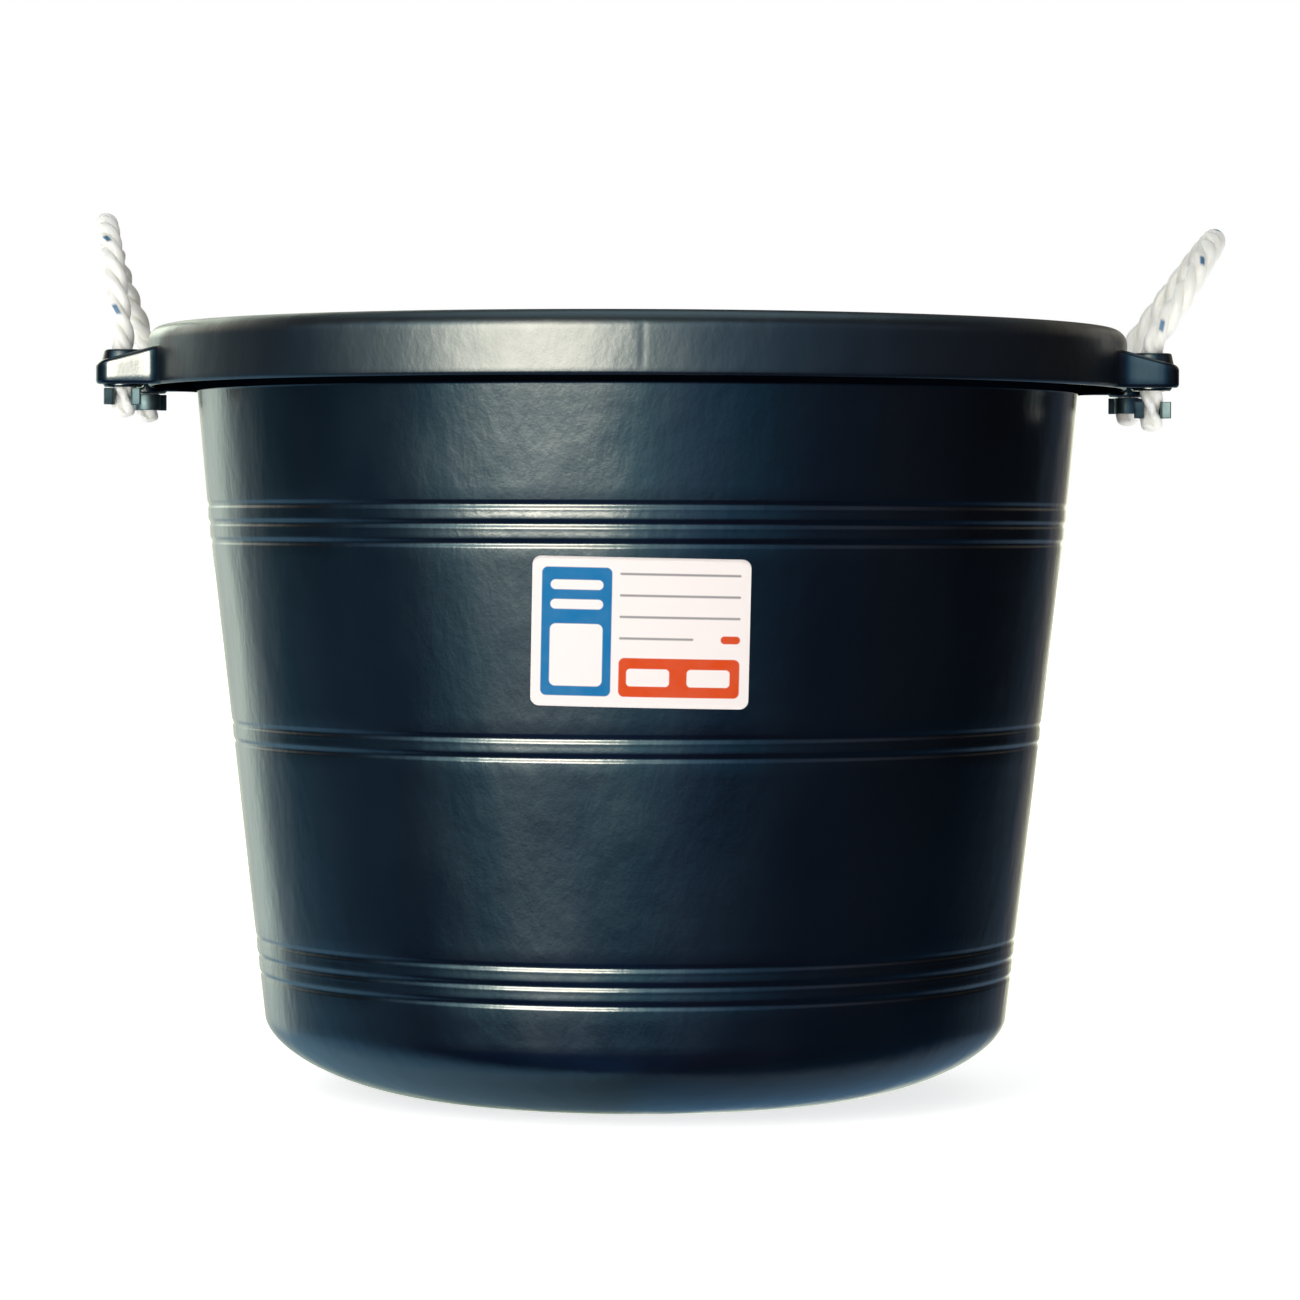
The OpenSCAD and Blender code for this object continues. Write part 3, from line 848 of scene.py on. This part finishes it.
def tub_material():
    """Blue-black satin plastic, with its roughness, shine and bump set by the place on the tub; under the
    rim the shine is turned off to paint the rim's shade.
    """
    material, tree, shader = new_material("moulded_polyethylene")
    place = add(tree, "ShaderNodeTexCoord").outputs["Object"]
    stretch = add(tree, "ShaderNodeMapping", {"Vector": place, "Scale": (1, 1, 0.6)})
    stretched = stretch.outputs["Vector"]
    patches = noise(tree, stretched, 34.0, detail=4.0, roughness=0.55)
    peel = noise(tree, place, 700.0, detail=2.0)
    tone = remap(tree, noise(tree, place, 18.0), 0.35, 0.65, 0.0, 1.0)
    colour = mix_colours(tree, tone, (0.0003, 0.0008, 0.0016, 1), (0.0006, 0.0013, 0.0025, 1))
    tree.links.new(colour, shader.inputs["Base Color"])
    dull = remap(tree, noise(tree, stretched, 26.0, detail=5.0), 0.35, 0.7, -DULLER, DULLER)
    height = add(tree, "ShaderNodeSeparateXYZ", {"Vector": place}).outputs["Z"]
    reach = vector_math(tree, "LENGTH", vector_math(tree, "MULTIPLY", place, (1, 1, 0)))
    on_rim = both(tree, (height, RIM_Z - EDGE, RIM_Z), (reach, RIM_R + 2 * EDGE, RIM_R + EDGE))
    scuffed = remap(tree, on_rim, 0, 1, WALL_ROUGHNESS, RIM_ROUGHNESS)
    tree.links.new(scalar_math(tree, "ADD", scuffed, dull), shader.inputs["Roughness"])
    # Painted shade: the shine is turned off in the channel under the rim and on the strip of wall just
    # below it, where the rim casts its shadow.
    channel_z, channel_r = HEIGHT - RIM_T, RIM_R - RIM_T / 2
    shade_painted_under_rim = both(tree, (height, ROOT_Z, ROOT_Z + EDGE), (height, channel_z, channel_z - EDGE),
                   (reach, NECK_R - 2 * EDGE, NECK_R - EDGE), (reach, channel_r + EDGE, channel_r))
    shine = remap(tree, shade_painted_under_rim, 0, 1, WALL_SHINE, PAINTED_SHADE_SHINE)
    tree.links.new(shine, shader.inputs["Specular IOR Level"])
    uneven = remap(tree, reach, RIM_R + EDGE, RIM_R + 2 * EDGE, PATCH_BUMP, EAR_BUMP)
    slow = add(tree, "ShaderNodeBump", {"Height": patches, "Strength": uneven, "Distance": PATCH_DEPTH})
    fine = add(tree, "ShaderNodeBump", {"Height": peel, "Strength": PEEL_BUMP, "Distance": PEEL_DEPTH,
                                        "Normal": slow.outputs["Normal"]})
    tree.links.new(fine.outputs["Normal"], shader.inputs["Normal"])
    return material


tub.data.materials.clear()
tub.data.materials.append(tub_material())
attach(tub, "tub")
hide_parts("tub")
print(f"{tub.name} has {len(tub.data.materials)} material")

# %% [markdown]
# ## The label
# The label is a printed film that is stuck to the wall. As a surface it is a flat rectangle with
# round corners whose points are then pushed back to the wall's radius. It keeps a UV map of its
# flat shape in millimetres, and the print is drawn there by nodes: each panel is the distance to a
# rounded rectangle, cut off at zero. The design is a plain one of blank fields and rules.

# %% Label surface
LABEL_W = 112.0
LABEL_H = 77.0
LABEL_ROUND = 4.5
LABEL_TURN = math.radians(1)
LABEL_X = 2.0
GLUE = 0.2 * MM
FILM = 0.3 * MM
SPREAD = 0.999 * math.pi / 2


def label_surface(columns=57, rows=39):
    """Front face of the label: across and up its flat shape, whose height follows the corner arcs
    near both ends, turned a little, and wrapped on the wall."""
    u, v = np.meshgrid(np.linspace(-1, 1, columns), np.linspace(-1, 1, rows))
    across = LABEL_W / 2 * np.sin(u * SPREAD) / math.sin(SPREAD)
    past = np.clip(np.abs(across) - (LABEL_W / 2 - LABEL_ROUND), 0, LABEL_ROUND)
    up = v * (LABEL_H / 2 - LABEL_ROUND + np.sqrt(LABEL_ROUND**2 - past**2))
    x = (LABEL_X + across * math.cos(LABEL_TURN) + up * math.sin(LABEL_TURN)) * MM
    middle_z = (label_low.z + label_high.z) / 2
    z = middle_z + (up * math.cos(LABEL_TURN) - across * math.sin(LABEL_TURN)) * MM
    radius = wall_r(z) + wall_waves(np.arctan2(-np.sqrt(wall_r(z) ** 2 - x**2), x), z) + GLUE + FILM
    return np.stack([x, -np.sqrt(radius**2 - x**2), z], axis=-1), across, up


points, across, up = label_surface()
label = new_piece("front_label", points, [grid_quads(*across.shape)], closed=False)
uv = label.data.uv_layers.new(name="print_mm")
corner_points = np.empty(len(label.data.loops), np.int32)
label.data.loops.foreach_get("vertex_index", corner_points)
flat = np.stack([across.ravel(), up.ravel()], axis=-1)[corner_points]
uv.data.foreach_set("uv", flat.ravel().astype(np.float32))
film = label.modifiers.new("film", "SOLIDIFY")
film.thickness = FILM
film.offset = -1
print(f"label {LABEL_W} by {LABEL_H} mm")

# %% Label print
PAPER = (0.9, 0.82, 0.79, 1)
RED = (0.67, 0.065, 0.008, 1)
BLUE = (0.0, 0.155, 0.37, 1)
GREY = (0.32, 0.3, 0.3, 1)
EDGE_BLUR = 0.25
PANELS = [
    (BLUE, -33, 0, 36, 66, 3),
    (PAPER, -33, -12, 27, 32, 3),
    (PAPER, -33, 24, 27, 5, 2.5),
    (PAPER, -33, 14, 27, 5, 2.5),
    (RED, 20, -23, 62, 20, 3),
    (PAPER, 4, -23, 22, 9, 2),
    (PAPER, 35, -23, 22, 9, 2),
    (GREY, 20, 30, 62, 1.2, 0.6),
    (GREY, 20, 19, 62, 1.2, 0.6),
    (GREY, 20, 8, 62, 1.2, 0.6),
    (GREY, 8, -3, 38, 1.2, 0.6),
    (RED, 46, -3, 10, 4, 2),
]


def panel_mask(tree, place, middle, size, radius):
    """1 inside a rounded rectangle and 0 outside: the distance to it is the length of what sticks out
    past the inner rectangle, less the radius."""
    inner = (size[0] / 2 - radius, size[1] / 2 - radius, 0)
    away = vector_math(tree, "ABSOLUTE", vector_math(tree, "SUBTRACT", place, (*middle, 0)))
    past = vector_math(tree, "SUBTRACT", away, inner)
    distance = vector_math(tree, "LENGTH", vector_math(tree, "MAXIMUM", past, (0, 0, 0)))
    return remap(tree, distance, radius - EDGE_BLUR, radius + EDGE_BLUR, 1.0, 0.0)


def label_material():
    """Printed film: each panel's ink is laid over what is below it, and all of it has faded a little."""
    sockets = {"Roughness": 0.5, "Specular IOR Level": 0.04}
    material, tree, shader = new_material("printed_film", sockets)
    place = add(tree, "ShaderNodeUVMap", uv_map="print_mm").outputs["UV"]
    fade = remap(tree, noise(tree, place, 0.08, detail=4.0), 0.3, 0.7, 0.0, 0.03)
    colour = PAPER
    for ink, x, y, w, h, r in PANELS:
        colour = mix_colours(tree, panel_mask(tree, place, (x, y), (w, h), r), colour, ink)
    worn = mix_colours(tree, fade, colour, PAPER)
    tree.links.new(worn, shader.inputs["Base Color"])
    return material


label.data.materials.append(label_material())
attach(label, "tub")
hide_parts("label")
print(f"label print of {len(PANELS)} panels")

# %% [markdown]
# ## The rope clamps
# Under each ear a strip of plated steel is crimped round the rope so that it can't pull through.
# Its path in plan is most of a circle, then a tight bend at each end and a short flared lip. The
# path is worked out from its direction: the direction turns evenly along the circle, back the
# other way in the bend, and not at all in the lip, and running sums of its cosine and sine give
# the points. A small rounded rectangle, the section of the strip, is carried along it.

# %% Clamps
CLAMP_T = 1.6 * MM
CLAMP_R = 5.55 * MM + CLAMP_T / 2
CLAMP_END = math.radians(57)
LIP_TURN = math.radians(98)
LIP_BEND_R = 1.7 * MM
LIP_LENGTH = 4.2 * MM
STRIP_EDGE = 0.4 * MM
STRIP_STEP = 0.2 * MM
GRAIN_DEPTH = 0.1 * MM
STRIP_SHARP = math.radians(40)


def strip_path():
    """Half of a clamp's path from the middle of its back, and the direction along it, in plan with the
    mouth towards +X: a circle, a bend the other way, and a straight lip."""
    on_circle = CLAMP_R * (math.pi - CLAMP_END)
    in_bend = LIP_BEND_R * LIP_TURN
    s = np.arange(0, on_circle + in_bend + LIP_LENGTH, STRIP_STEP)
    turn = -np.minimum(s, on_circle) / CLAMP_R + np.clip(s - on_circle, 0, in_bend) / LIP_BEND_R
    direction = math.pi / 2 + turn
    x = -CLAMP_R + np.cumsum(np.append(0, np.cos(direction[:-1]))) * STRIP_STEP
    y = np.cumsum(np.append(0, np.sin(direction[:-1]))) * STRIP_STEP
    return np.stack([x, y], axis=-1), direction


def strip_section():
    """Section of the strip, through its thickness and up its height: a rectangle with round corners."""
    a, b = CLAMP_T / 2 - STRIP_EDGE, CLAMP_H / 2 - STRIP_EDGE
    corners = [((a, b), 0), ((-a, b), 90), ((-a, -b), 180), ((a, -b), 270)]
    return np.concatenate([arc(middle, STRIP_EDGE, start, start + 90, 4) for middle, start in corners])


def clamp_surface(middle, mouth):
    """Points of a clamp round a tail: rows along the strip, columns round its section."""
    half, direction = strip_path()
    path = np.concatenate([half[:0:-1] * np.array([1, -1]), half])
    heading = np.concatenate([math.pi - direction[:0:-1], direction])
    across = np.stack([-np.sin(heading), np.cos(heading)], axis=-1)
    section = strip_section()
    plan = path[:, None, :] + section[None, :, :1] * across[:, None, :]
    spin = np.array([[0, mouth], [-mouth, 0]])
    plan = plan @ spin
    z = section[None, :, 1] + 0 * plan[..., 0]
    return np.asarray(middle) + np.concatenate([plan, z[..., None]], axis=-1)


def clamp_material():
    """Dulled zinc: cloudy grey metal with a fine grain along the strip."""
    material, tree, shader = new_material("plated_steel", {"Metallic": 1.0})
    place = add(tree, "ShaderNodeTexCoord").outputs["Object"]
    cloud = noise(tree, place, 260.0, detail=4.0)
    colour = mix_colours(tree, cloud, (0.05, 0.07, 0.073, 1), (0.12, 0.155, 0.16, 1))
    tree.links.new(colour, shader.inputs["Base Color"])
    tree.links.new(remap(tree, cloud, 0.3, 0.7, 0.45, 0.62), shader.inputs["Roughness"])
    grain = add(tree, "ShaderNodeMapping", {"Vector": place, "Scale": (1, 1, 9)}).outputs["Vector"]
    scratches = noise(tree, grain, 900.0)
    bump = add(tree, "ShaderNodeBump", {"Height": scratches, "Strength": 0.3, "Distance": GRAIN_DEPTH})
    tree.links.new(bump.outputs["Normal"], shader.inputs["Normal"])
    return material


clamp_finish = clamp_material()
for name, side in SIDES.items():
    for end, mouth in ENDS.items():
        grid = clamp_surface((side * HOLE_X, mouth * HOLE_Y, CLAMP_Z[name, end]), mouth)
        clamp = many_solids(f"{name}_{end}_band", [grid])
        clamp.data.set_sharp_from_angle(angle=STRIP_SHARP)
        clamp.data.materials.append(clamp_finish)
        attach(clamp, "tub")
        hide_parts(f"{name}_{end}_clamp")
print(f"4 clamps of {len(clamp.data.polygons)} faces")

# %% [markdown]
# ## Floor and lamps
# The bucket stands on a pale floor in front of white. The floor glows a little, so that only a soft
# shadow shows on it, and it is kept out of the reflections. Black plastic is lit by what it
# reflects. A warm soft box to the left of the camera makes the bright patch: the upright front of
# the rim mirrors it fully, and the tapered wall, which leans away from it, catches only its blurred
# lower edge. The ropes and the label scatter light instead, and have a fill lamp of their own that
# doesn't show in reflections.

# %% Floor
FLOOR_SIZE = 60.0
GLOW_REACH = (0.4, 2.0)
GLOW_STRENGTH = (0.75, 1.0)
floor = new_piece("floor", FLOOR_SIZE * np.array([[-1, -1, 0], [1, -1, 0], [1, 1, 0], [-1, 1, 0]]) / 2,
                  [np.array([[0, 1, 2, 3]])], closed=False)
sockets = {"Base Color": (0.9, 0.9, 0.9, 1), "Roughness": 0.9, "Emission Color": (1, 1, 1, 1)}
floor_finish, tree, shader = new_material("pale_floor", sockets)
from_middle = vector_math(tree, "LENGTH", add(tree, "ShaderNodeTexCoord").outputs["Object"])
glow = remap(tree, from_middle, *GLOW_REACH, *GLOW_STRENGTH)
tree.links.new(glow, shader.inputs["Emission Strength"])
floor.data.materials.append(floor_finish)
floor.visible_glossy = False
floor.visible_shadow = False
print("floor ready")

# %% Lights
def soft_box(name, azimuth, elevation, distance, size, power, colour=(1, 1, 1)):
    """A rectangular light that faces the middle of the tub; azimuth 0 is the camera's side, and a
    negative one is to its left."""
    light = bpy.data.lights.new(name, "AREA")
    light.shape = "RECTANGLE"
    light.size, light.size_y = size
    light.energy = power
    light.color = colour
    lamp = bpy.data.objects.new(name, light)
    bpy.context.scene.collection.objects.link(lamp)
    a, e = math.radians(azimuth), math.radians(elevation)
    away = np.array([math.sin(a) * math.cos(e), -math.cos(a) * math.cos(e), math.sin(e)])
    turn = Matrix.Rotation(a, 4, "Z") @ Matrix.Rotation(math.pi / 2 - e, 4, "X")
    lamp.matrix_world = Matrix.Translation(away * distance + np.array([0, 0, HEIGHT / 2])) @ turn
    lamp.visible_camera = False
    return lamp


key = soft_box("warm_box", azimuth=-24, elevation=6.5, distance=9.0, size=(5.85, 2.37), power=1650,
               colour=(1.0, 0.95, 0.78))
key.visible_diffuse = False
fill = soft_box("fill_for_colour", azimuth=-35, elevation=35, distance=3.6, size=(2.4, 2.4), power=40)
fill.visible_glossy = False
print("lights ready")

# %% [markdown]
# ## The room in the reflections
# What shows on dark satin plastic is the room. Here it is a background colour by direction: three
# rings of colour stops, near the ceiling, at the horizon and near the ground, which are blended by
# height, with a dim ceiling and a paler patch overhead. A stop is an angle, to the right of the
# camera's side in degrees, and a colour. The first colours came from a rough fit to the tones
# that such a room has to leave on the tub, and then they were changed one patch after
# another. The Light Path node gives other rays something else: the camera sees white, and what
# scatters light gets a plain grey. That only works when the world isn't sampled as a lamp.

# %% World
UPPER = [
    (-180, (0.02, 0.02, 0.02)), (-150, (5.6, 6.2, 5.2)), (-130, (1.9, 1.85, 1.6)),
    (-110, (0.35, 0.35, 0.32)), (-90, (0.02, 0.02, 0.03)), (-65, (0.6, 1.2, 1.8)),
    (-42, (3.4, 6.6, 7.2)), (-24, (15.0, 13.6, 12.0)), (-6, (2.9, 5.2, 5.5)),
    (15, (0.9, 1.9, 2.8)), (35, (0.18, 0.5, 1.0)), (60, (0.38, 0.45, 0.64)),
    (100, (0.06, 0.06, 0.07)), (150, (0.5, 0.45, 0.35)), (180, (0.02, 0.02, 0.02)),
]
HORIZON = [
    (-180, (1.9, 2.1, 1.3)), (-160, (0.84, 0.91, 0.88)), (-145, (1.8, 2.15, 1.9)),
    (-130, (0.47, 0.63, 0.7)), (-115, (0.06, 0.17, 0.23)), (-95, (0.03, 0.07, 0.13)),
    (-60, (0.12, 0.38, 0.64)), (-45, (0.3, 1.66, 2.35)), (-30, (2.3, 3.7, 4.2)),
    (-16, (0.9, 2.3, 3.0)), (0, (0.5, 2.0, 2.7)), (12, (0.48, 1.0, 1.76)),
    (25, (0.14, 0.6, 1.05)), (45, (0.09, 0.18, 0.35)), (70, (0.08, 0.1, 0.15)),
    (100, (0.02, 0.02, 0.02)), (125, (0.01, 0.01, 0.01)), (145, (0.06, 0.09, 0.13)),
    (160, (0.38, 0.35, 0.32)), (180, (4.0, 4.1, 2.9)),
]
GROUND = [
    (-180, (0.12, 0.2, 0.25)), (-140, (0.38, 0.7, 0.95)), (-110, (0.3, 0.7, 1.1)),
    (-70, (0.02, 0.05, 0.16)), (-20, (0.07, 0.22, 0.6)), (30, (0.05, 0.06, 0.15)),
    (80, (0.03, 0.07, 0.14)), (110, (0.02, 0.07, 0.16)), (140, (0.22, 0.34, 0.48)),
    (180, (0.12, 0.27, 0.45)),
]
CEILING = (0.1, 0.12, 0.14, 1)
OVERHEAD = (1.15, 1.75, 2.0, 1)
SCATTERED = (0.38, 0.38, 0.38, 1)
WHITE = (1, 1, 1, 1)
GROUND_TO_HORIZON = (-0.35, -0.1)
HORIZON_TO_UPPER = (0.05, 0.2)
UPPER_TO_CEILING = (0.42, 0.6)
CEILING_TO_OVERHEAD = (0.8, 0.95)


def azimuth_ramp(tree, share, stops):
    """A colour by azimuth; share 0.5 is the camera's side, and a stop's angle is to the right of it."""
    ramp = add(tree, "ShaderNodeValToRGB", {"Fac": share})
    elements = ramp.color_ramp.elements
    for i, (degrees, colour) in enumerate(stops):
        place = degrees / 360 + 0.5
        last = i == len(stops) - 1
        element = elements[0] if i == 0 else elements[-1] if last else elements.new(place)
        element.position = place
        element.color = (*colour, 1)
    return ramp.outputs["Color"]


world = bpy.data.worlds.new("studio")
bpy.context.scene.world = world
world.use_nodes = True
world.cycles.sampling_method = "NONE"
tree = world.node_tree
tree.nodes.clear()
direction = add(tree, "ShaderNodeTexCoord").outputs["Generated"]
way = add(tree, "ShaderNodeSeparateXYZ", {"Vector": direction})
rise = way.outputs["Z"]
ahead = scalar_math(tree, "MULTIPLY", way.outputs["Y"], -1)
angle = scalar_math(tree, "ARCTAN2", way.outputs["X"], ahead)
share = remap(tree, angle, -math.pi, math.pi, 0.0, 1.0)
ground, horizon, upper = (azimuth_ramp(tree, share, stops) for stops in (GROUND, HORIZON, UPPER))
lower = mix_colours(tree, remap(tree, rise, *GROUND_TO_HORIZON, 0.0, 1.0), ground, horizon)
around = mix_colours(tree, remap(tree, rise, *HORIZON_TO_UPPER, 0.0, 1.0), lower, upper)
above = mix_colours(tree, remap(tree, rise, *CEILING_TO_OVERHEAD, 0.0, 1.0), CEILING, OVERHEAD)
mirrored = mix_colours(tree, remap(tree, rise, *UPPER_TO_CEILING, 0.0, 1.0), around, above)
rays = add(tree, "ShaderNodeLightPath")
soft = mix_colours(tree, rays.outputs["Is Diffuse Ray"], mirrored, SCATTERED)
seen = mix_colours(tree, rays.outputs["Is Camera Ray"], soft, WHITE)
glow = add(tree, "ShaderNodeBackground", {"Color": seen})
add(tree, "ShaderNodeOutputWorld", {"Surface": glow.outputs["Background"]})
bpy.context.scene.view_settings.view_transform = "Standard"
print("world ready")
